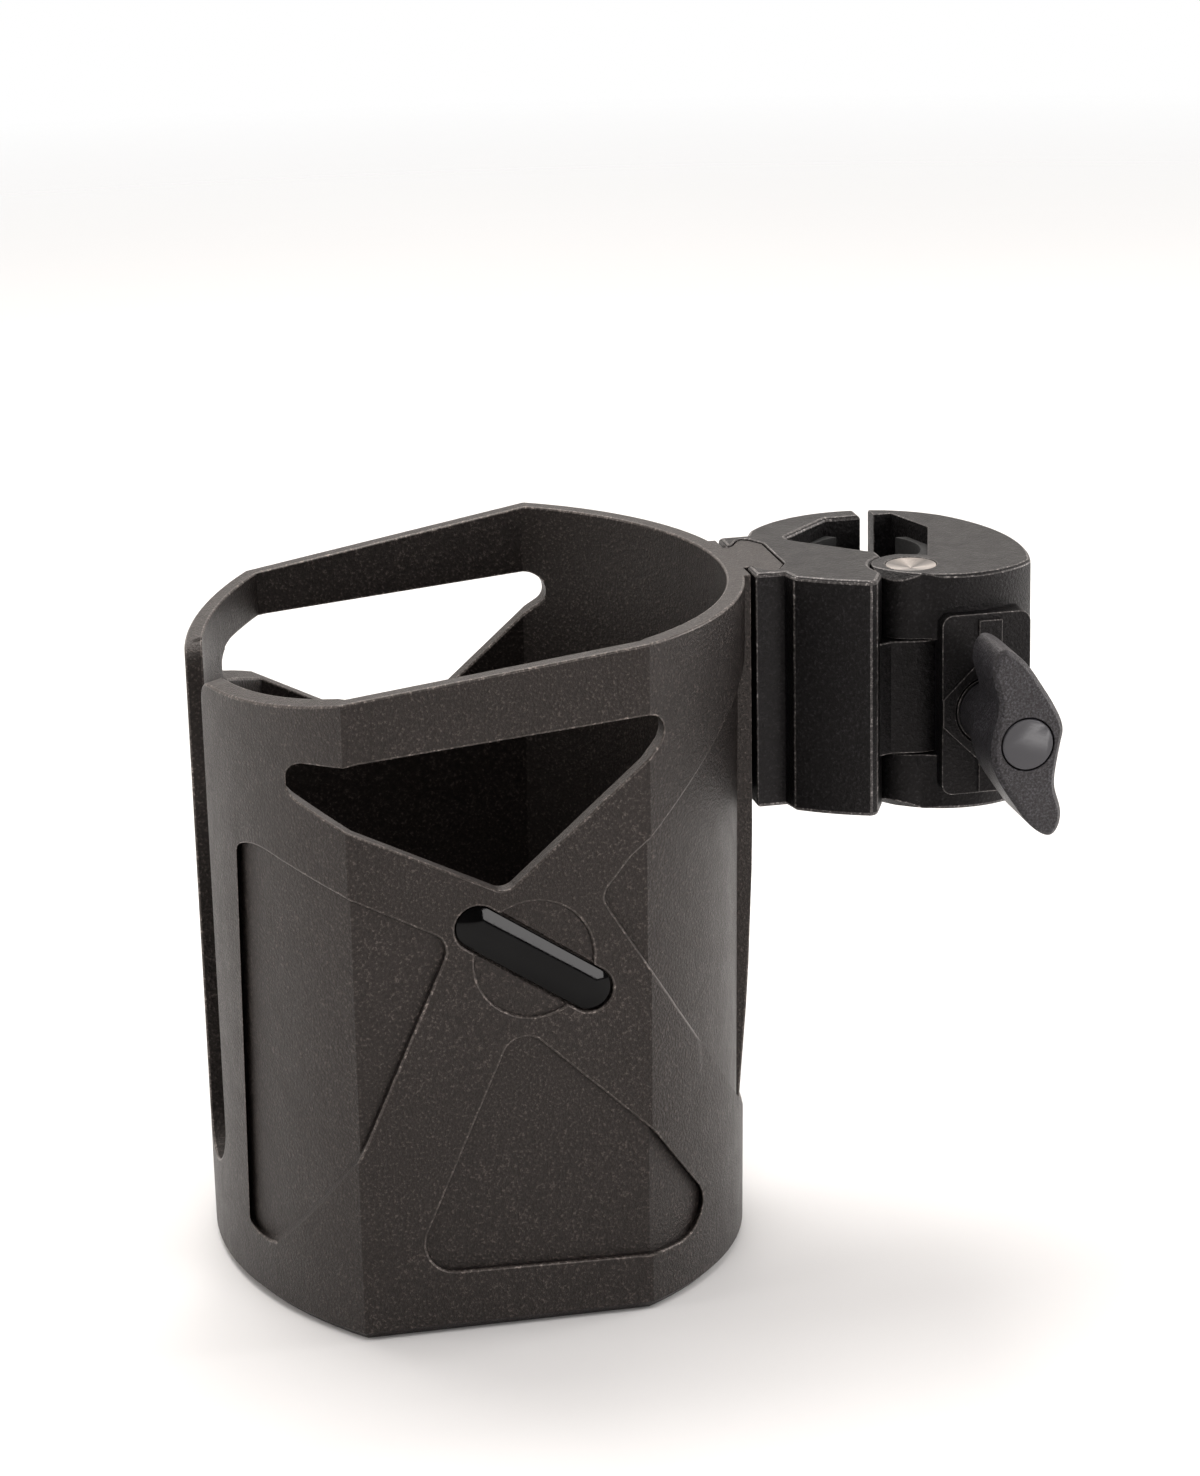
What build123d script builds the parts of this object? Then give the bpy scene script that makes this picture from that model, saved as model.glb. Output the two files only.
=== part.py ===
from build123d import *
import os
from math import cos, radians, sin, sqrt

# Cup holder that clamps on a round tube. Millimetres.
# The origin is on the tube's axis at the middle of the clamp. +Z is up along the tube,
# the cup stands towards -X, and the wing knob faces -Y.

# ---------------------------------------------------------------- driving dimensions
tube_radius = 10.0

# clamp body
clamp_top, clamp_bottom = 22.25, -20.6
seat_distance = 11.0           # tube axis to each face of the V seat
seat_corner_radius = 2.6
pad_half_length = 19.0
back_centre_x, back_centre_y = -1.0, -7.4
back_radius = 23.5             # rounded back of the clamp, shared by body and jaw
arm_front_y = 11.4             # inner face of the arm behind the tube
edge_round = 0.5

# hinge
pin_x, pin_y = 1.6, -23.4
pin_radius = 2.5
pin_head_radius = 4.5
pin_head_height = 1.3
knuckle_radius = 6.9
knuckle_relief = 7.2
knuckle_top, knuckle_bottom = 10.1, -10.4
knuckle_gap = 0.3

# knob and screw
screw_x, screw_z = 12.6, -2.1
screw_radius = 2.5             # M5
boss_x, boss_z, boss_face_y = 11.95, -0.85, -34.8
boss_half_width, boss_half_height = 8.0, 16.3
knob_front_y = -56.2
wing_depth = 12.0

# tongue that the screw pulls on
tongue_half_height = 7.5
tongue_end_x = 18.0
tongue_back_radius = 41.5      # concentric with the hinge pin
saddle_gap = 0.15

# rail between cup and clamp
rail_y = -9.3
rail_clearance = 0.3
rail_top, rail_bottom = 22.0, -18.8
socket_half_width = 13.0
lip_end_x = -26.2
pad_face_x = -26.9
pad_half_width = 12.2
pad_bottom = -78.0

# cup
cup_x, cup_y = -77.8, rail_y
cup_bottom = -98.3
cup_wall = 3.2
cup_floor = 3.0
cup_half_depth = 48.2          # centre plane to each flat, at the bottom
mount_bow_centre, mount_bow_radius = -7.3, 56.9
slot_bow_centre, slot_bow_radius = 30.2, 75.4
cup_taper = 0.03 / 120         # growth of the section per millimetre of height
rim_top = 22.0
rim_knee_x, rim_crease_x = -54.0, -106.0
rim_crease_front, rim_crease_back = 15.9, 13.0
rim_slot_x, rim_slot_z = -125.0, 10.0
panel_depth = 1.2
slot_width = 17.8
slot_bottom = -81.0
badge_x, badge_z = -74.7, -31.6
badge_length, badge_width, badge_tilt = 30.3, 7.4, 33.7
badge_ring_radius = 10.3

os.makedirs("parts", exist_ok=True)
above = rim_top + 20           # a height clear of every piece


def save(piece, name):
    """Label a finished piece and write its STEP file."""
    piece.part.label = name
    export_step(piece.part, f"parts/{name}.step")


def pin_circle(x, radius):
    """Y of the rear side of a circle about the hinge pin."""
    return pin_y + sqrt(radius**2 - (x - pin_x) ** 2)


def back_circle(x):
    """Y of the clamp's rounded back."""
    return back_centre_y + sqrt(back_radius**2 - (x - back_centre_x) ** 2)


def along_y(x, y, z, x_dir=(1, 0, 0)):
    """Plane that faces -Y, with its own x along +X and its own y along +Z."""
    return Plane((x, y, z), x_dir=x_dir, z_dir=(0, -1, 0))


# ---------------------------------------------------------------- cup shell
def cup_outline(height, inset):
    """Section of the cup: flat front and back, bowed sides, grown with height."""
    grow = 1 + cup_taper * (height - cup_bottom)
    flat = cup_half_depth * grow - inset
    mount_r = mount_bow_radius * grow - inset
    slot_r = slot_bow_radius * grow - inset
    mount_c, slot_c = mount_bow_centre * grow, slot_bow_centre * grow
    mount_crease = mount_c + sqrt(mount_r**2 - flat**2)
    slot_crease = slot_c - sqrt(slot_r**2 - flat**2)
    with BuildSketch() as section:
        with BuildLine():
            Line((slot_crease, -flat), (mount_crease, -flat))
            ThreePointArc((mount_crease, -flat), (mount_c + mount_r, 0), (mount_crease, flat))
            Line((mount_crease, flat), (slot_crease, flat))
            ThreePointArc((slot_crease, flat), (slot_c - slot_r, 0), (slot_crease, -flat))
        make_face()
    return section.sketch


def cup_block(bottom, inset=0.0):
    """Tapered solid with the cup's section, from a height up to above the rim."""
    with BuildPart() as block:
        for height in (bottom, above):
            with BuildSketch(Plane((cup_x, cup_y, height))):
                add(cup_outline(height, inset))
        loft()
    return block.part


def rounded_outline(corners):
    """Polygon with its own radius at each corner: (x, z, radius) each."""
    with BuildSketch() as outline:
        with BuildLine():
            Polyline(*[(x, z) for x, z, _ in corners], close=True)
        make_face()
        for x, z, radius in corners:
            fillet(outline.vertices().sort_by_distance(Vector(x, z, 0))[0], radius)
    return outline.sketch


window_corners = [(-114.0, 3.6, 3.3), (-103.4, 5.3, 8.0), (-45.1, 10.3, 3.2), (-79.3, -19.5, 3.0),
                  (-114.0, -2.2, 2.8)]
slot_side_panel = [(-120.5, -12.5, 2.8), (-107.0, -17.6, 8.0), (-88.8, -27.2, 3.5),
                   (-104.5, -62.6, 30.0), (-120.5, -92.6, 1.9)]
lower_panel = [(-77.9, -42.6, 4.0), (-97.4, -86.9, 5.5), (-38.5, -88.3, 5.5), (-54.4, -65.0, 12.0)]
mount_side_panel = [(-63.0, -21.6, 3.0), (-57.6, -14.8, 6.0), (-29.5, 8.5, 1.0), (-20.0, 8.5, 1.0),
                    (-20.0, -78.0, 1.0), (-29.6, -76.0, 1.0)]

panels = [rounded_outline(corners) for corners in (slot_side_panel, lower_panel, mount_side_panel)]
window = rounded_outline(window_corners)
cup_outside = cup_block(cup_bottom)
cup_panel_level = cup_block(cup_bottom - 1, panel_depth)
cup_hollow = cup_block(cup_bottom + cup_floor, cup_wall)

with BuildPart() as recesses:
    with BuildSketch(along_y(0, cup_y, 0)):
        add(panels)
    extrude(amount=100, both=True)
    add(cup_panel_level, mode=Mode.SUBTRACT)

with BuildSketch() as rail_profile:
    # dovetail-like head on a narrow neck, pointing at the tube
    half = [(pad_face_x - 3, 6.8), (-25.5, 7.0), (-24.8, 7.8), (-23.4, 10.4), (-22.5, 11.0),
            (-21.3, 10.2), (-19.7, 7.2)]
    with BuildLine():
        Polyline(*[(x, rail_y + w) for x, w in half], *[(x, rail_y - w) for x, w in reversed(half)],
                 close=True)
    make_face()

with BuildPart() as cup_shell:
    add(cup_outside)
    chamfer(edges().group_by(Axis.Z)[0], 1.5)
    add(recesses.part, mode=Mode.SUBTRACT)
    # pad that backs the rail, fading into the wall further down
    with BuildSketch(along_y(0, rail_y, 0)):
        with BuildLine():
            Polyline((pad_face_x, -15), (pad_face_x, above), (pad_face_x - 9, above),
                     (pad_face_x - 9, pad_bottom), (pad_face_x - 3.2, pad_bottom))
            ThreePointArc((pad_face_x - 3.2, pad_bottom), (pad_face_x - 0.9, -49), (pad_face_x, -15))
        make_face()
    extrude(amount=pad_half_width, both=True)
    with BuildSketch(Plane.XY.offset(rail_bottom)):
        add(rail_profile.sketch)
    extrude(amount=rail_top - rail_bottom)
    # hollow
    add(cup_hollow, mode=Mode.SUBTRACT)
    # rim: level over the rail, falling towards the handle slot, more so at the back
    for y, crease_z in ((cup_y - 50, rim_crease_front), (cup_y + 50, rim_crease_back)):
        with BuildSketch(along_y(0, y, 0)):
            with BuildLine():
                Polyline((rim_slot_x, rim_slot_z), (rim_crease_x, crease_z), (rim_knee_x, rim_top),
                         (0, rim_top), (0, above + 10), (rim_slot_x, above + 10), close=True)
            make_face()
    loft(ruled=True, mode=Mode.SUBTRACT)
    # handle slot, open at the rim
    with BuildSketch(Plane((cup_x, cup_y, slot_bottom), x_dir=(0, -1, 0), z_dir=(-1, 0, 0))):
        Rectangle(slot_width, 200, align=(Align.CENTER, Align.MIN))
        fillet(vertices().group_by(Axis.Y)[0], slot_width / 2 - 0.05)
    extrude(amount=60, mode=Mode.SUBTRACT)
    # three-cornered windows in front and back
    with BuildSketch(along_y(0, cup_y, 0)):
        add(window)
    extrude(amount=100, both=True, mode=Mode.SUBTRACT)
    # badge seat: a shallow disc with a deeper pill across it
    front_y = cup_y - cup_half_depth * (1 + cup_taper * (badge_z - cup_bottom))
    with BuildSketch(along_y(badge_x, front_y + 0.7, badge_z)):
        Circle(badge_ring_radius)
    extrude(amount=10, mode=Mode.SUBTRACT)
    with BuildSketch(along_y(badge_x, front_y + 1.5, badge_z)):
        SlotOverall(badge_length + 0.6, badge_width + 0.6, rotation=-badge_tilt)
    extrude(amount=10, mode=Mode.SUBTRACT)
    corners = edges().filter_by(
        lambda e: e.center().X < cup_x - 40 and e.center().Z > 5 and abs(e.tangent_at(0.5).X) > 0.9
    )
    fillet(corners, 4.0)
save(cup_shell, "cup_shell")

with BuildPart() as badge:
    with BuildSketch(along_y(badge_x, front_y + 1.48, badge_z)):
        SlotOverall(badge_length, badge_width, rotation=-badge_tilt)
    extrude(amount=1.6)
    fillet(edges().group_by(Axis.Y)[0], 0.6)
save(badge, "badge")

# ---------------------------------------------------------------- clamp body
lip_outer = socket_half_width
seat_corner = -seat_distance * sqrt(2)      # where the two seat faces meet, on the X axis
seat_front_end = -1.8
relief_back_y = pin_y + sqrt(knuckle_relief**2 - (seat_front_end - pin_x) ** 2)
relief_angle = radians(-165)
relief_start = (pin_x + knuckle_relief * cos(relief_angle), pin_y + knuckle_relief * sin(relief_angle))
body_end_x = 2.5                            # where the body's full-height arm stops

with BuildPart() as clamp_body:
    with BuildSketch(Plane.XY.offset(clamp_bottom)):
        with BuildLine():
            Polyline((lip_end_x, rail_y - lip_outer), (-21.0, rail_y - lip_outer), (-20.3, -25.7))
            ThreePointArc((-20.3, -25.7), (-14.6, -29.7), (-8.3, -32.8))
            Polyline((-8.3, -32.8), (-7.0, -32.3), (-4.9, -27.6), relief_start)
            ThreePointArc(relief_start, (pin_x - knuckle_relief, pin_y), (seat_front_end, relief_back_y))
            Polyline((seat_front_end, relief_back_y), (seat_front_end, seat_corner - seat_front_end),
                     (seat_corner, 0), (seat_corner + arm_front_y, arm_front_y),
                     (body_end_x, arm_front_y), (body_end_x, back_circle(body_end_x)))
            ThreePointArc((body_end_x, back_circle(body_end_x)), (-9, back_circle(-9)),
                          (-19.6, back_circle(-19.6)))
            Polyline((-19.6, back_circle(-19.6)), (-21.0, rail_y + lip_outer),
                     (lip_end_x, rail_y + lip_outer), (lip_end_x, rail_y - lip_outer))
        make_face()
        fillet(vertices().sort_by_distance(Vector(seat_corner, 0, 0))[0], seat_corner_radius)
    extrude(amount=clamp_top - clamp_bottom)
    chamfer(edges().group_by(Axis.Z)[0] + edges().group_by(Axis.Z)[-1], edge_round)
    # middle knuckle, with a web back to the body
    with BuildSketch(Plane.XY.offset(knuckle_bottom)):
        with Locations((pin_x, pin_y)):
            Circle(knuckle_radius)
        Polygon((-8.3, -31.2), (-3.8, -29.5), (pin_x, pin_y - knuckle_radius), (pin_x, pin_y),
                (pin_x, pin_y + knuckle_radius), (-1.9, -15.5), (-9, -20), align=None)
    extrude(amount=knuckle_top - knuckle_bottom)
    with Locations((pin_x, pin_y, knuckle_top)):
        Hole(pin_radius + 0.05, depth=knuckle_top - knuckle_bottom)
    # forked tongue behind the tube: its back is concentric with the hinge pin
    with BuildSketch(Plane.XY.offset(screw_z - tongue_half_height)):
        with BuildLine():
            Polyline((-4.0, pin_circle(-4.0, tongue_back_radius)), (-4.0, arm_front_y),
                     (tongue_end_x, arm_front_y), (tongue_end_x, pin_circle(tongue_end_x, tongue_back_radius)))
            ThreePointArc((tongue_end_x, pin_circle(tongue_end_x, tongue_back_radius)),
                          (8, pin_circle(8, tongue_back_radius)), (-4.0, pin_circle(-4.0, tongue_back_radius)))
        make_face()
    extrude(amount=2 * tongue_half_height)
    with BuildSketch(along_y(screw_x, arm_front_y - 0.2, screw_z)):
        SlotCenterToCenter(20, 2 * screw_radius + 0.8)
        Rectangle(40, 40, align=(Align.MAX, Align.CENTER), mode=Mode.SUBTRACT)
        Circle(screw_radius + 0.4)
    extrude(amount=-12, mode=Mode.SUBTRACT)
    # socket for the rail, with a floor that the rail stands on
    with BuildSketch(Plane.XY.offset(rail_bottom)):
        add(rail_profile.sketch)
        offset(amount=rail_clearance, kind=Kind.INTERSECTION)
    extrude(amount=clamp_top - clamp_bottom, mode=Mode.SUBTRACT)
save(clamp_body, "clamp_body")

# ---------------------------------------------------------------- seat pads in the body
def seat_pad(angle, name):
    """Liner on one face of the V seat, hollowed to the tube's radius."""
    face = Plane((0, 0, -pad_half_length), x_dir=(cos(radians(angle)), sin(radians(angle)), 0),
                 z_dir=(0, 0, 1))
    with BuildPart() as pad:
        with BuildSketch(face):
            with Locations((seat_distance - 1.25, 0)):
                Rectangle(2.5, 10.2)
            Circle(tube_radius, mode=Mode.SUBTRACT)
        extrude(amount=2 * pad_half_length)
    save(pad, name)


seat_pad(225, "v_pad_front")
seat_pad(135, "v_pad_rear")

# ---------------------------------------------------------------- jaw
jaw_seat_x = 11.8
jaw_seat_lean = 0.3057                      # each half of the jaw's seat leans 17 degrees
jaw_front = (jaw_seat_x - jaw_seat_lean * 18.3, -18.3)
jaw_back_x = jaw_seat_x - jaw_seat_lean * arm_front_y
jaw_end_x = 5.0
jaw_side = (16.9, back_circle(16.9))

with BuildPart() as clamp_jaw:
    with BuildSketch(Plane.XY.offset(clamp_bottom)):
        with BuildLine():
            ThreePointArc((pin_x, pin_y + knuckle_radius), (pin_x - knuckle_radius, pin_y),
                          (pin_x, pin_y - knuckle_radius))
            Line((pin_x, pin_y - knuckle_radius), (4.6, -32.0))
            ThreePointArc((4.6, -32.0), (13.6, -32.2), (22.5, -26.7))
            ThreePointArc((22.5, -26.7), (24.4, -14.5), jaw_side)
            ThreePointArc(jaw_side, (11, back_circle(11)), (jaw_end_x, back_circle(jaw_end_x)))
            Polyline((jaw_end_x, back_circle(jaw_end_x)), (jaw_end_x, arm_front_y),
                     (jaw_back_x, arm_front_y), (jaw_seat_x, 0), jaw_front,
                     (pin_x, pin_y + knuckle_radius))
        make_face()
    extrude(amount=clamp_top - clamp_bottom)
    ends = edges().group_by(Axis.Z)[0] + edges().group_by(Axis.Z)[-1]
    chamfer(ends.filter_by(GeomType.CIRCLE).filter_by(lambda e: e.center().X > 8), edge_round)
    # boss under the knob, with a raised square set on its corner and a raised band
    with BuildSketch(along_y(boss_x, boss_face_y, boss_z)):
        RectangleRounded(2 * boss_half_width, 2 * boss_half_height, 2.0)
    extrude(amount=-8)
    with BuildSketch(along_y(screw_x, boss_face_y, screw_z)):
        Rectangle(15.7, 15.7, rotation=45)
        with Locations((0, 0.8)):
            Rectangle(4.2, 31.2)
        with Locations((boss_x - screw_x, boss_z - screw_z)):
            RectangleRounded(2 * boss_half_width, 2 * boss_half_height, 2.0, mode=Mode.INTERSECT)
    extrude(amount=0.5)
    with BuildSketch(along_y(screw_x, boss_face_y - 0.5, screw_z)):
        Circle(6.4)
    extrude(amount=-1.1, mode=Mode.SUBTRACT)
    # room for the body's middle knuckle
    with BuildSketch(Plane.XY.offset(knuckle_bottom - knuckle_gap)):
        with Locations((pin_x, pin_y)):
            Circle(knuckle_relief)
        Polygon((-10, -40), (boss_x - boss_half_width, -40), (boss_x - boss_half_width, pin_y),
                (pin_x, pin_y), (pin_x, -10), (-10, -10), align=None)
    extrude(amount=knuckle_top - knuckle_bottom + 2 * knuckle_gap, mode=Mode.SUBTRACT)
    # room for the tongue, open behind
    with BuildSketch(Plane.XY.offset(screw_z - tongue_half_height - 0.4)):
        Polygon((0, arm_front_y - 0.5), (30, arm_front_y - 0.5), (30, 30), (0, 30), align=None)
    extrude(amount=2 * tongue_half_height + 0.8, mode=Mode.SUBTRACT)
    # bores
    with Locations(along_y(screw_x, boss_face_y - 0.5, screw_z)):
        Hole(screw_radius + 0.25, depth=60)
    with Locations((pin_x, pin_y, clamp_top)):
        CounterBoreHole(pin_radius + 0.01, pin_head_radius + 0.1, pin_head_height + 0.1,
                        depth=clamp_top - clamp_bottom)
    with BuildSketch(Plane.XY.offset(clamp_bottom)):
        with Locations((pin_x, pin_y)):
            Circle(5.4)
    extrude(amount=1.3, mode=Mode.SUBTRACT)
save(clamp_jaw, "clamp_jaw")


def jaw_pad(bottom, top, name):
    """Liner in the jaw's shallow seat, hollowed to the tube's radius."""
    half = 6.5
    back_x = jaw_seat_x - jaw_seat_lean * half
    with BuildPart() as pad:
        with BuildSketch(Plane.XY.offset(bottom)):
            Polygon((7.0, -half), (back_x, -half), (jaw_seat_x, 0), (back_x, half), (7.0, half), align=None)
            Circle(tube_radius, mode=Mode.SUBTRACT)
        extrude(amount=top - bottom)
    save(pad, name)


jaw_pad(screw_z + 4.5, pad_half_length, "jaw_pad_upper")
jaw_pad(-pad_half_length, screw_z - 4.5, "jaw_pad_lower")

# ---------------------------------------------------------------- hinge pin and its clip
pin_top = clamp_top - 0.1
with BuildPart() as hinge_pin:
    with BuildSketch(Plane((pin_x, pin_y, 0), x_dir=(1, 0, 0), z_dir=(0, -1, 0))):
        with BuildLine():
            Polyline((0, clamp_bottom + 0.1), (pin_radius, clamp_bottom + 0.1),
                     (pin_radius, pin_top - pin_head_height), (pin_head_radius, pin_top - pin_head_height),
                     (pin_head_radius, pin_top), (pin_head_radius - 0.4, pin_top), (0, pin_top - 0.7),
                     close=True)
        make_face()
    revolve(axis=Axis((pin_x, pin_y, 0), (0, 0, 1)))
save(hinge_pin, "hinge_pin")

with BuildPart() as hinge_pin_clip:
    with BuildSketch(Plane.XY.offset(clamp_bottom + 0.2)):
        with Locations((pin_x, pin_y)):
            Circle(5.0)
            Circle(pin_radius + 0.01, mode=Mode.SUBTRACT)
            with PolarLocations(3.6, 6):
                Circle(0.55, mode=Mode.SUBTRACT)
    extrude(amount=1.0)
save(hinge_pin_clip, "hinge_pin_clip")

# ---------------------------------------------------------------- wing knob, screw and washer
washer_thickness = 0.9
hub_back_y = boss_face_y - washer_thickness + 0.5
wing_back_y = knob_front_y + wing_depth
wing_half = [(6.4, 1.0), (5.3, -4.7), (5.1, -8.2), (6.2, -13.6), (4.4, -16.9), (1.8, -15.8), (-2.1, -11.0),
             (-5.4, -5.4)]

with BuildPart() as wing_knob:
    with BuildSketch(along_y(screw_x, wing_back_y, screw_z)):
        with BuildLine():
            Spline(*wing_half, *[(-x, -z) for x, z in wing_half], periodic=True)
        make_face()
    extrude(amount=wing_back_y - knob_front_y)
    chamfer(edges().group_by(Axis.Y)[0], 0.8)
    with BuildSketch(along_y(screw_x, hub_back_y, screw_z)):
        Circle(5.6)
    extrude(amount=hub_back_y - wing_back_y + 3, taper=-3)
    with Locations(along_y(screw_x, knob_front_y - 0.2, screw_z)):
        CounterBoreHole(screw_radius + 0.02, 4.75, 1.6, depth=30)
    with BuildSketch(along_y(screw_x, knob_front_y + 5.4, screw_z)):
        RegularPolygon(4.05, 6, major_radius=False)
    extrude(amount=5, mode=Mode.SUBTRACT)
save(wing_knob, "wing_knob")

with BuildPart() as knob_cap:
    with BuildSketch(along_y(screw_x, knob_front_y + 1.35, screw_z)):
        Circle(4.5)
    extrude(amount=1.4)
    fillet(edges().group_by(Axis.Y)[0], 0.25)
save(knob_cap, "knob_cap")

screw_end_y = 25.0
with BuildPart() as clamp_screw:
    with BuildSketch(along_y(screw_x, knob_front_y + 5.3, screw_z)):
        RegularPolygon(4.0, 6, major_radius=False)
    extrude(amount=3.5)
    with BuildSketch(along_y(screw_x, screw_end_y, screw_z)):
        Circle(screw_radius)
    extrude(amount=screw_end_y - knob_front_y - 5.3)
    chamfer(edges().group_by(Axis.Y)[-1], 0.6)
save(clamp_screw, "clamp_screw")

with BuildPart() as thrust_washer:
    with BuildSketch(along_y(screw_x, boss_face_y + 0.6, screw_z)):
        Circle(6.0)
        Circle(screw_radius + 0.2, mode=Mode.SUBTRACT)
    extrude(amount=washer_thickness)
save(thrust_washer, "thrust_washer")

# ---------------------------------------------------------------- nut and its saddle
saddle_back_y = 21.0
nut_depth = 3.2
saddle_half_width = 6.0
saddle_radius = tongue_back_radius + saddle_gap
with BuildPart() as nut_saddle:
    with BuildSketch(Plane.XY.offset(screw_z - saddle_half_width)):
        with BuildLine():
            left, right = screw_x - saddle_half_width, screw_x + saddle_half_width
            Polyline((left, pin_circle(left, saddle_radius)), (left, saddle_back_y),
                     (right, saddle_back_y), (right, pin_circle(right, saddle_radius)))
            ThreePointArc((right, pin_circle(right, saddle_radius)),
                          (screw_x, pin_circle(screw_x, saddle_radius)),
                          (left, pin_circle(left, saddle_radius)))
        make_face()
    extrude(amount=2 * saddle_half_width)
    with Locations(Plane((screw_x, saddle_back_y, screw_z), x_dir=(1, 0, 0), z_dir=(0, 1, 0))):
        Hole(screw_radius + 0.1, depth=20)
    with BuildSketch(along_y(screw_x, saddle_back_y, screw_z)):
        RegularPolygon(4.03, 6, major_radius=False)
    extrude(amount=nut_depth, mode=Mode.SUBTRACT)
save(nut_saddle, "nut_saddle")

with BuildPart() as clamp_nut:
    with BuildSketch(along_y(screw_x, saddle_back_y + 0.4, screw_z)):
        RegularPolygon(4.0, 6, major_radius=False)
        Circle(screw_radius + 0.01, mode=Mode.SUBTRACT)
    extrude(amount=nut_depth + 0.4)
save(clamp_nut, "clamp_nut")
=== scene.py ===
import bmesh
import bpy
from math import cos, radians, sin, sqrt
from mathutils import Matrix, Vector


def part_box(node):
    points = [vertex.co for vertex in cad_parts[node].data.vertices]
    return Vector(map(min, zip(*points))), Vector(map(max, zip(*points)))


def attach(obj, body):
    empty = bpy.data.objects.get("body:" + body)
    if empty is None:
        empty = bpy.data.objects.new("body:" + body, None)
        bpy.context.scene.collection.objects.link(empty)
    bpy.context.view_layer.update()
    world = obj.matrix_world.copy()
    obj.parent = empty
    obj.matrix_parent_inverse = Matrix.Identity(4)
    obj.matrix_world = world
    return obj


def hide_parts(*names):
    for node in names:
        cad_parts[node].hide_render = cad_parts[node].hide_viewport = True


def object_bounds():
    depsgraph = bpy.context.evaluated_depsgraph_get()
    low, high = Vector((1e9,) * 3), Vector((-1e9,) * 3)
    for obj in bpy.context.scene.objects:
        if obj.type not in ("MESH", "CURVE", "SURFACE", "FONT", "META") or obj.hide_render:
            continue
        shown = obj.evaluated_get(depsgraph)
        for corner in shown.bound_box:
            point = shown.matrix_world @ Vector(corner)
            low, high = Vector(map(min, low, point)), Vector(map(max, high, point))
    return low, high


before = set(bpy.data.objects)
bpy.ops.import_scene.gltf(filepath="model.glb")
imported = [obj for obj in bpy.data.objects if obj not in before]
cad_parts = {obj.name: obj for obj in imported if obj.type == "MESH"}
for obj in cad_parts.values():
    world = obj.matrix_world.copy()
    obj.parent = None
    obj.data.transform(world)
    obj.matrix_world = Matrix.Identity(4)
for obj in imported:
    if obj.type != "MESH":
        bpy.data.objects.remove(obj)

cad_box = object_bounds()


# ---------------------------------------------------------------- materials
def nodes_of(name):
    """A new material with its node tree, its Principled shader and an object-space position."""
    m = bpy.data.materials.new(name)
    m.use_nodes = True
    tree = m.node_tree
    shader = next(n for n in tree.nodes if n.type == "BSDF_PRINCIPLED")
    where = tree.nodes.new("ShaderNodeTexCoord").outputs["Object"]
    return m, tree, shader, where


def noise(tree, where, scale, detail, roughness=0.5, distortion=0.0):
    n = tree.nodes.new("ShaderNodeTexNoise")
    n.inputs["Scale"].default_value = scale
    n.inputs["Detail"].default_value = detail
    n.inputs["Roughness"].default_value = roughness
    n.inputs["Distortion"].default_value = distortion
    tree.links.new(where, n.inputs["Vector"])
    return n.outputs["Fac"]


def ramp(tree, fac, stops):
    """Colour ramp: stops are (position, colour), a colour being three numbers or one grey."""
    n = tree.nodes.new("ShaderNodeValToRGB")
    elements = n.color_ramp.elements
    elements[0].position, elements[1].position = stops[0][0], stops[-1][0]
    for position, _ in stops[1:-1]:
        elements.new(position)
    for element, (position, colour) in zip(elements, stops):
        colour = (colour,) * 3 if isinstance(colour, (int, float)) else colour
        element.position, element.color = position, (*colour, 1)
    tree.links.new(fac, n.inputs["Fac"])
    return n.outputs["Color"]


def bump(tree, height, distance, strength, below=None):
    n = tree.nodes.new("ShaderNodeBump")
    n.inputs["Distance"].default_value = distance
    n.inputs["Strength"].default_value = strength
    tree.links.new(height, n.inputs["Height"])
    if below is not None:
        tree.links.new(below, n.inputs["Normal"])
    return n.outputs["Normal"]


def stretched(tree, where, scale):
    """Position scaled by different amounts along X, Y and Z, for streaky finishes."""
    n = tree.nodes.new("ShaderNodeMapping")
    n.inputs["Scale"].default_value = scale
    tree.links.new(where, n.inputs["Vector"])
    return n.outputs["Vector"]


def multiplied(tree, a, b, fac):
    """Colour a, multiplied by colour b as far as fac says."""
    n = tree.nodes.new("ShaderNodeMix")
    n.data_type = "RGBA"
    n.blend_type = "MULTIPLY"
    factor, first, second, result = 0, 6, 7, 2  # the node's sockets when it mixes colours
    n.inputs[factor].default_value = fac
    tree.links.new(a, n.inputs[first])
    tree.links.new(b, n.inputs[second])
    return n.outputs[result]


def moulded(name, dark, light, rough, tint, grain=0.00025, grain_scale=1900.0, shine=0.5,
            speck_top=5.0):
    """Moulded plastic: spark-eroded grain with lighter specks, faint flow marks and scuffing."""
    m, tree, shader, where = nodes_of(name)
    fine = noise(tree, where, scale=grain_scale, detail=3.0, roughness=0.65)
    soft = noise(tree, where, scale=45.0, detail=4.0, roughness=0.55, distortion=0.4)
    scuff = noise(tree, stretched(tree, where, (1.0, 1.0, 0.7)),
                  scale=260.0, detail=5.0, roughness=0.65, distortion=0.6)
    base = ramp(tree, soft, [(0.3, dark), (0.72, light)])
    speck = ramp(tree, fine, [(0.36, 0.15), (0.50, 0.75), (0.58, 1.4), (0.68, speck_top)])
    tree.links.new(multiplied(tree, base, speck, fac=1.0), shader.inputs["Base Color"])
    tree.links.new(ramp(tree, scuff, [(0.3, rough[0]), (0.8, rough[1])]),
                   shader.inputs["Roughness"])
    shader.inputs["Specular IOR Level"].default_value = shine
    shader.inputs["Specular Tint"].default_value = (*tint, 1)
    flow = bump(tree, soft, distance=0.0002, strength=0.2)
    tree.links.new(bump(tree, fine, distance=grain, strength=1.0, below=flow),
                   shader.inputs["Normal"])
    return m


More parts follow.
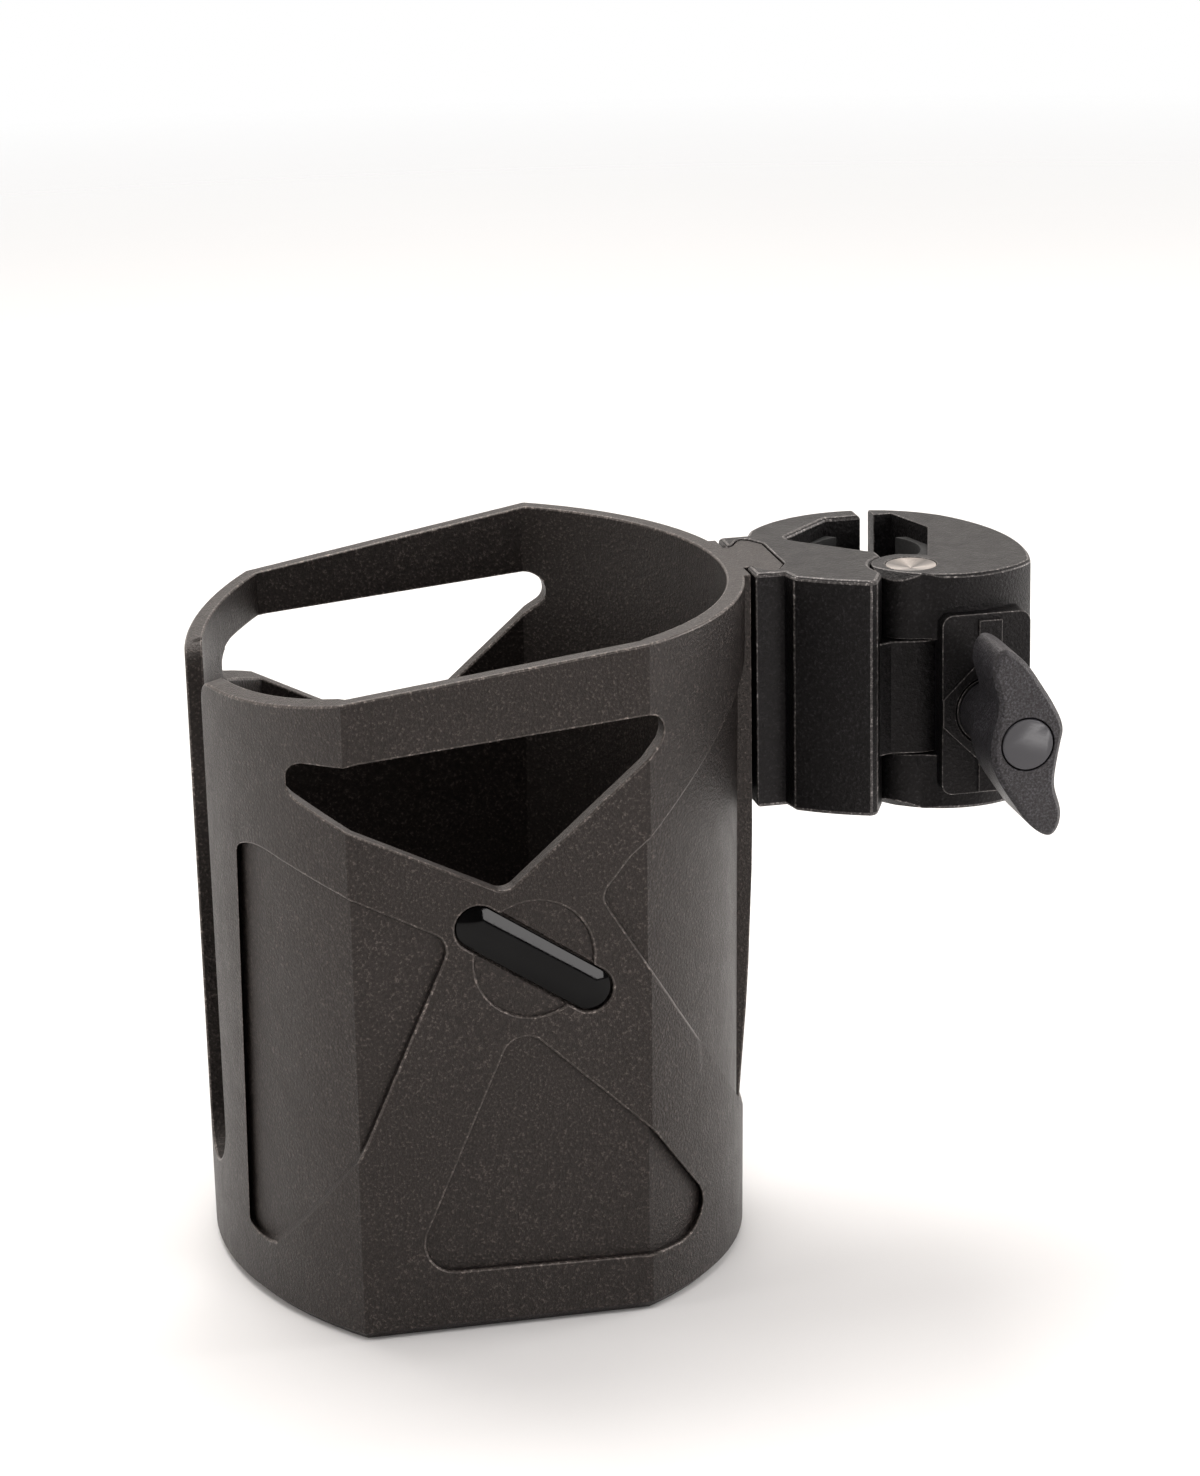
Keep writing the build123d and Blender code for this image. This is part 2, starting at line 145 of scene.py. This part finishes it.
def gloss(name, colour, rough, shine=0.5):
    """Smooth plastic with a faint ripple and dust."""
    dust_roughness = 0.16
    m, tree, shader, where = nodes_of(name)
    ripple = noise(tree, where, scale=90.0, detail=2.0, roughness=0.4)
    dust = noise(tree, where, scale=2400.0, detail=4.0, roughness=0.7)
    lighter = tuple(c * 1.25 + 0.002 for c in colour)
    tree.links.new(ramp(tree, ripple, [(0.35, colour), (0.7, lighter)]),
                   shader.inputs["Base Color"])
    tree.links.new(ramp(tree, dust, [(0.45, rough), (0.8, rough + dust_roughness)]),
                   shader.inputs["Roughness"])
    tree.links.new(bump(tree, ripple, distance=0.0002, strength=0.12), shader.inputs["Normal"])
    shader.inputs["Specular IOR Level"].default_value = shine
    return m


def metal(name, colour, rough):
    """Plated steel with fine machining lines."""
    machining_roughness = 0.12
    m, tree, shader, where = nodes_of(name)
    shader.inputs["Metallic"].default_value = 1.0
    lines = noise(tree, stretched(tree, where, (1.0, 1.0, 30.0)),
                  scale=260.0, detail=4.0, roughness=0.6)
    patches = noise(tree, where, scale=140.0, detail=3.0)
    darker = tuple(c * 0.86 for c in colour)
    tree.links.new(ramp(tree, patches, [(0.3, darker), (0.7, colour)]),
                   shader.inputs["Base Color"])
    tree.links.new(ramp(tree, lines, [(0.3, rough), (0.75, rough + machining_roughness)]),
                   shader.inputs["Roughness"])
    tree.links.new(bump(tree, lines, distance=0.00002, strength=0.5), shader.inputs["Normal"])
    return m


def steel_with_painted_reflection(name, centre):
    """Plated steel with a painted reflection: bright and dark wedges round its centre, in its
    colour and its bumps.
    """
    m, tree, shader, where = nodes_of(name)
    shader.inputs["Metallic"].default_value = 1.0
    shift = tree.nodes.new("ShaderNodeMapping")
    shift.inputs["Location"].default_value = (-centre[0], -centre[1], 0)
    tree.links.new(where, shift.inputs["Vector"])
    ray = tree.nodes.new("ShaderNodeTexGradient")
    ray.gradient_type = "RADIAL"
    tree.links.new(shift.outputs["Vector"], ray.inputs["Vector"])
    # painted reflection: light and dark wedges by angle round the pin's centre, multiplied into
    # the base colour
    painted_reflection_wedges = ramp(tree, ray.outputs["Fac"], [
        (0.0, 0.55), (0.08, 0.95), (0.16, 0.30), (0.24, 0.10), (0.33, 0.75), (0.42, 1.0),
        (0.50, 0.40), (0.58, 0.14), (0.67, 0.60), (0.76, 1.0), (0.84, 0.35), (0.92, 0.18),
        (1.0, 0.55)])
    patches = noise(tree, where, scale=900.0, detail=4.0, roughness=0.6)
    plate = ramp(tree, patches, [(0.3, (0.50, 0.45, 0.41)), (0.7, (0.70, 0.64, 0.59))])
    tree.links.new(multiplied(tree, plate, painted_reflection_wedges, fac=0.9), shader.inputs["Base Color"])
    tree.links.new(ramp(tree, patches, [(0.3, 0.10), (0.75, 0.22)]), shader.inputs["Roughness"])
    tree.links.new(bump(tree, painted_reflection_wedges, distance=0.00005, strength=0.5), shader.inputs["Normal"])
    return m


def rubber(name):
    """Dull rubber with a grey bloom."""
    m, tree, shader, where = nodes_of(name)
    fine = noise(tree, where, scale=1800.0, detail=4.0, roughness=0.6)
    bloom = noise(tree, where, scale=110.0, detail=3.0, roughness=0.55)
    tree.links.new(ramp(tree, bloom, [(0.3, 0.012), (0.75, 0.03)]), shader.inputs["Base Color"])
    tree.links.new(ramp(tree, fine, [(0.3, 0.7), (0.7, 0.88)]), shader.inputs["Roughness"])
    tree.links.new(bump(tree, fine, distance=0.00008, strength=0.8), shader.inputs["Normal"])
    return m


warm, plain = (1.0, 0.90, 0.85), (1.0, 0.95, 0.95)
edge_grain = 0.00003
cup_face = moulded("cup_plastic", dark=(0.0085, 0.0067, 0.0060), light=(0.0130, 0.0106, 0.0097),
                   rough=(0.38, 0.5), tint=warm, shine=0.38, speck_top=6.0)
# painted highlight: the cup's rounded edges get a material about five times lighter than its faces
cup_edge_highlight = moulded("cup_plastic_edge_highlight", dark=(0.040, 0.034, 0.031), light=(0.066, 0.057, 0.052),
                   rough=(0.32, 0.44), tint=warm, grain=edge_grain)
clamp_face = moulded("clamp_plastic", dark=(0.0030, 0.0028, 0.0030),
                     light=(0.0050, 0.0047, 0.0050), rough=(0.36, 0.5), tint=plain, shine=0.22)
# painted highlight: the clamp's rounded edges, and those of the washer and saddle, get a material
# far lighter than their faces
clamp_edge_highlight = moulded("clamp_plastic_edge_highlight", dark=(0.050, 0.046, 0.045),
                     light=(0.095, 0.088, 0.084), rough=(0.34, 0.48), tint=plain,
                     grain=edge_grain)
knob_face = moulded("knob_plastic", dark=(0.020, 0.0195, 0.022), light=(0.031, 0.030, 0.034),
                    rough=(0.36, 0.5), tint=plain, grain=0.0002, grain_scale=2400.0, shine=0.4,
                    speck_top=2.6)
badge_face = gloss("badge_gloss", (0.0010, 0.0009, 0.0010), rough=0.04, shine=0.15)
cap_face = gloss("cap_plastic", (0.036, 0.035, 0.040), rough=0.34)
pin_x, pin_y = [(a + b) / 2 for a, b in zip(*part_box("hinge_pin"))][:2]
pin_metal = steel_with_painted_reflection("pin_steel", (pin_x, pin_y))
screw_metal = metal("screw_steel", (0.55, 0.54, 0.52), rough=0.28)
pad_face = rubber("pad_rubber")


# ---------------------------------------------------------------- pieces
weld_distance = 2e-6        # vertices nearer than this are one
flat_turn = radians(1.0)    # faces that turn by less than this are one
smooth_turn = radians(28)   # edges that turn by less than this are shaded smooth
most_corners = 6            # level faces with more corners than this are cut up
level_z = 0.9               # a face is level when its normal's Z is more than this
fine_share = 0.3            # how wide the rounding is beyond fine_from


def refined(node, body, face, edge, width, angle=28.0, cut_level=False, fine_from=None):
    """The CAD node's shape with its convex edges rounded, and the rounding in the edge material,
    which on the moulded parts is far lighter than the faces: a painted highlight along the edges.

    Edges that turn by more than angle degrees are rounded. With cut_level, level faces of many
    corners are cut into triangles first, so that the rounding can't spill them over a notch.
    Beyond X = fine_from the same is done to every face of many corners, and the rounding is
    narrower.
    """
    def beyond(point):
        return fine_from is not None and point.x > fine_from

    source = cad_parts[node]
    bm = bmesh.new()
    bm.from_mesh(source.data)
    bmesh.ops.remove_doubles(bm, verts=bm.verts, dist=weld_distance)
    bmesh.ops.dissolve_limit(bm, angle_limit=flat_turn, verts=bm.verts, edges=bm.edges)
    bm.normal_update()
    if cut_level:
        bmesh.ops.triangulate(bm, faces=[
            f for f in bm.faces if len(f.verts) > most_corners
            and (abs(f.normal.z) > level_z or beyond(f.calc_center_median()))])
        bm.normal_update()
    weight = bm.edges.layers.float.new("bevel_weight_edge")
    for e in bm.edges:
        if len(e.link_faces) == 2:
            turn = e.calc_face_angle_signed(0.0)
            share = fine_share if beyond((e.verts[0].co + e.verts[1].co) / 2) else 1.0
            e[weight] = share if turn > radians(angle) else 0.0
            e.smooth = abs(turn) < smooth_turn
    for f in bm.faces:
        f.smooth = True
        f.material_index = 0
    mesh = bpy.data.meshes.new(node + "_moulded")
    bm.to_mesh(mesh)
    bm.free()
    mesh.materials.append(face)
    mesh.materials.append(edge)
    piece = bpy.data.objects.new(node + "_moulded", mesh)
    bpy.context.scene.collection.objects.link(piece)
    b = piece.modifiers.new("edge_rounding", "BEVEL")
    b.width = width
    b.segments = 3
    b.limit_method = "WEIGHT"
    b.use_clamp_overlap = False
    b.harden_normals = True
    # the rounding takes the edge material, a painted highlight where it is lighter than the face
    b.material = 1
    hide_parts(node)
    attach(piece, body)


rail_x = -0.028  # the cup's T-rail starts here
refined("cup_shell", "cup", cup_face, cup_edge_highlight, width=0.0004, angle=55.0,
        cut_level=True, fine_from=rail_x)

# the badge is a pill with a clear domed top: rings that shrink towards its long axis
badge_tilt, badge_length, badge_width = radians(33.7), 0.0303, 0.0074
dome_radius = 0.0095
side_height = 0.00095               # the straight side ends this far from the dome's crest
lip_taper, lip_inset = 0.02, 0.0001
steps_per_end = 32
badge_low, badge_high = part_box("badge")
badge_x, badge_z = (badge_low[0] + badge_high[0]) / 2, (badge_low[2] + badge_high[2]) / 2
half, straight = badge_width / 2, (badge_length - badge_width) / 2
# each ring is (reach from the long axis, Y); where Y is None the ring lies on the dome
profile = [(half, badge_high[1]), (half, badge_low[1] + side_height)]
profile += [(half * (1 - lip_taper * (1 - cos(radians(a)))) - lip_inset * sin(radians(a)), None)
            for a in (30, 60, 90)]
profile += [(half * f, None) for f in (0.93, 0.86, 0.78, 0.7, 0.6, 0.5, 0.4, 0.3, 0.2, 0.1)]
bm = bmesh.new()
rings = []
for reach, depth in profile:
    if depth is None:
        depth = badge_low[1] + dome_radius - sqrt(dome_radius**2 - reach**2)
    ring = []
    for end in (1, -1):
        for k in range(steps_per_end + 1):
            a = radians(-90 + 180 * k / steps_per_end) + (0 if end == 1 else radians(180))
            along, across = end * straight + reach * cos(a), reach * sin(a)
            ring.append(bm.verts.new((
                badge_x + along * cos(badge_tilt) + across * sin(badge_tilt), depth,
                badge_z - along * sin(badge_tilt) + across * cos(badge_tilt))))
    rings.append(ring)
for outer, inner in zip(rings, rings[1:]):
    for k in range(len(outer)):
        n = (k + 1) % len(outer)
        bm.faces.new((outer[k], outer[n], inner[n], inner[k]))
bm.faces.new(rings[-1])
bm.faces.new(list(reversed(rings[0])))
bmesh.ops.triangulate(bm, faces=[f for f in bm.faces if len(f.verts) > 4])
bmesh.ops.recalc_face_normals(bm, faces=bm.faces)
for f in bm.faces:
    f.smooth = True
for e in bm.edges:
    e.smooth = e.calc_face_angle(0.0) < radians(35)
mesh = bpy.data.meshes.new("badge_dome")
bm.to_mesh(mesh)
bm.free()
mesh.materials.append(badge_face)
badge = bpy.data.objects.new("badge_dome", mesh)
bpy.context.scene.collection.objects.link(badge)
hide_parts("badge")
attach(badge, "cup")

refined("clamp_body", "clamp", clamp_face, clamp_edge_highlight, width=0.00025,
        cut_level=True)
refined("clamp_jaw", "jaw", clamp_face, clamp_edge_highlight, width=0.00015)
refined("wing_knob", "knob", knob_face, knob_face, width=0.00015)
refined("knob_cap", "knob", cap_face, cap_face, width=0.0001)
refined("hinge_pin", "jaw", pin_metal, pin_metal, width=0.00015)
refined("hinge_pin_clip", "jaw", screw_metal, screw_metal, width=0.0001)
refined("clamp_screw", "knob", screw_metal, screw_metal, width=0.00015)
refined("thrust_washer", "knob", clamp_face, clamp_edge_highlight, width=0.0001)
refined("nut_saddle", "nut", clamp_face, clamp_edge_highlight, width=0.0002)
refined("clamp_nut", "nut", screw_metal, screw_metal, width=0.0002)
for pad, body in (("v_pad_front", "clamp"), ("v_pad_rear", "clamp"),
                  ("jaw_pad_upper", "jaw"), ("jaw_pad_lower", "jaw")):
    refined(pad, body, pad_face, pad_face, width=0.00015)


# ---------------------------------------------------------------- stage, light, camera
# a paper floor that fades out far from the object, so that no horizon shows
floor_half, fade_start, fade_end, floor_gap = 3.0, 0.6, 1.2, 0.0001
floor_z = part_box("cup_shell")[0][2]
bm = bmesh.new()
bmesh.ops.create_grid(bm, x_segments=24, y_segments=24, size=floor_half)
floor_mesh = bpy.data.meshes.new("floor")
bm.to_mesh(floor_mesh)
bm.free()
floor = bpy.data.objects.new("floor", floor_mesh)
floor.location = (0, 0, floor_z - floor_gap)
bpy.context.scene.collection.objects.link(floor)
m, tree, shader, where = nodes_of("floor_paper")
tree.links.new(ramp(tree, noise(tree, where, scale=3.0, detail=2.0), [(0.3, 0.86), (0.7, 0.9)]),
               shader.inputs["Base Color"])
shader.inputs["Roughness"].default_value = 0.9
far = tree.nodes.new("ShaderNodeVectorMath")
far.operation = "LENGTH"
tree.links.new(where, far.inputs[0])
fade = tree.nodes.new("ShaderNodeMapRange")
fade.inputs["From Min"].default_value, fade.inputs["From Max"].default_value = fade_start, fade_end
tree.links.new(far.outputs["Value"], fade.inputs["Value"])
fading = tree.nodes.new("ShaderNodeMixShader")
tree.links.new(fade.outputs["Result"], fading.inputs[0])
tree.links.new(shader.outputs[0], fading.inputs[1])
tree.links.new(tree.nodes.new("ShaderNodeBsdfTransparent").outputs[0], fading.inputs[2])
tree.links.new(fading.outputs[0], tree.nodes["Material Output"].inputs["Surface"])
floor.data.materials.append(m)

# the studio: bright behind, dimmer in front; plain white where it is seen directly
world = bpy.data.worlds.new("studio")
bpy.context.scene.world = world
world.use_nodes = True
tree = world.node_tree
background = tree.nodes["Background"]
seen = tree.nodes.new("ShaderNodeBackground")
seen.inputs["Color"].default_value = (1, 1, 1, 1)
direction = tree.nodes.new("ShaderNodeTexCoord").outputs["Generated"]
parts = tree.nodes.new("ShaderNodeSeparateXYZ")
tree.links.new(direction, parts.inputs[0])
# the direction's Y, from -1 in front to 1 behind, as 0 to 1
aim = tree.nodes.new("ShaderNodeMath")
aim.operation = "MULTIPLY_ADD"
aim.inputs[1].default_value, aim.inputs[2].default_value = 0.5, 0.5
tree.links.new(parts.outputs["Y"], aim.inputs[0])
in_front, at_the_sides, behind = (0.10, 0.095, 0.095), (0.36, 0.34, 0.33), (1.25, 1.17, 1.11)
studio = [(0.0, in_front), (0.5, at_the_sides), (0.85, behind), (1.0, behind)]
tree.links.new(ramp(tree, aim.outputs[0], studio), background.inputs["Color"])
background.inputs["Strength"].default_value = 0.85
by_ray = tree.nodes.new("ShaderNodeMixShader")
tree.links.new(tree.nodes.new("ShaderNodeLightPath").outputs["Is Camera Ray"], by_ray.inputs[0])
tree.links.new(background.outputs[0], by_ray.inputs[1])
tree.links.new(seen.outputs[0], by_ray.inputs[2])
tree.links.new(by_ray.outputs[0], tree.nodes["World Output"].inputs["Surface"])

middle = [(a + b) / 2 for a, b in zip(*cad_box)]


def softbox(name, at, width, height, power, colour):
    """A rectangular light that faces the middle of the object and isn't seen itself."""
    light = bpy.data.lights.new(name, "AREA")
    light.shape = "RECTANGLE"
    light.size, light.size_y = width, height
    light.energy = power
    light.color = colour
    lamp = bpy.data.objects.new(name, light)
    lamp.location = at
    lamp.visible_camera = False
    lamp.rotation_euler = (Vector(middle) - Vector(at)).to_track_quat("-Z", "Y").to_euler()
    bpy.context.scene.collection.objects.link(lamp)


softbox("left_box", (-0.95, -0.05, 0.22), 0.5, 0.9, power=3.4, colour=(1.0, 0.96, 0.93))
softbox("right_box", (0.9, 0.05, 0.25), 0.5, 0.9, power=6.5, colour=(1.0, 0.97, 0.95))
softbox("top_box", (-0.1, 0.5, 0.9), 0.8, 0.6, power=9.0, colour=(1.0, 0.97, 0.94))
softbox("front_box", (-0.25, -0.55, 1.0), 0.7, 0.5, power=4.0, colour=(1.0, 0.97, 0.95))
# the low box makes the stripe of light on the badge
softbox("low_box", (0.489, -0.985, 0.139), 0.37, 0.37, power=4.4, colour=(1.0, 0.97, 0.96))

# camera: a long lens, from the front left and above
yaw, pitch, roll = radians(12.84), radians(17.2), radians(-1.06)
target, distance = Vector((-0.04974, -0.0013, -0.0118)), 0.84241
forward = Vector((sin(yaw) * cos(pitch), cos(yaw) * cos(pitch), -sin(pitch)))
level = Vector((cos(yaw), -sin(yaw), 0))
upright = level.cross(forward)
right = cos(roll) * level + sin(roll) * upright
up = cos(roll) * upright - sin(roll) * level
camera = bpy.data.objects.new("camera", bpy.data.cameras.new("camera"))
bpy.context.scene.collection.objects.link(camera)
facing = Matrix((right, up, -forward)).transposed().to_4x4()
camera.matrix_world = Matrix.Translation(target - distance * forward) @ facing
camera.data.sensor_fit = "VERTICAL"
camera.data.sensor_height = 36.0
camera.data.lens = 114.634
camera.data.clip_start, camera.data.clip_end = 0.05, 20.0
bpy.context.scene.camera = camera
bpy.context.scene.view_settings.view_transform = "Standard"
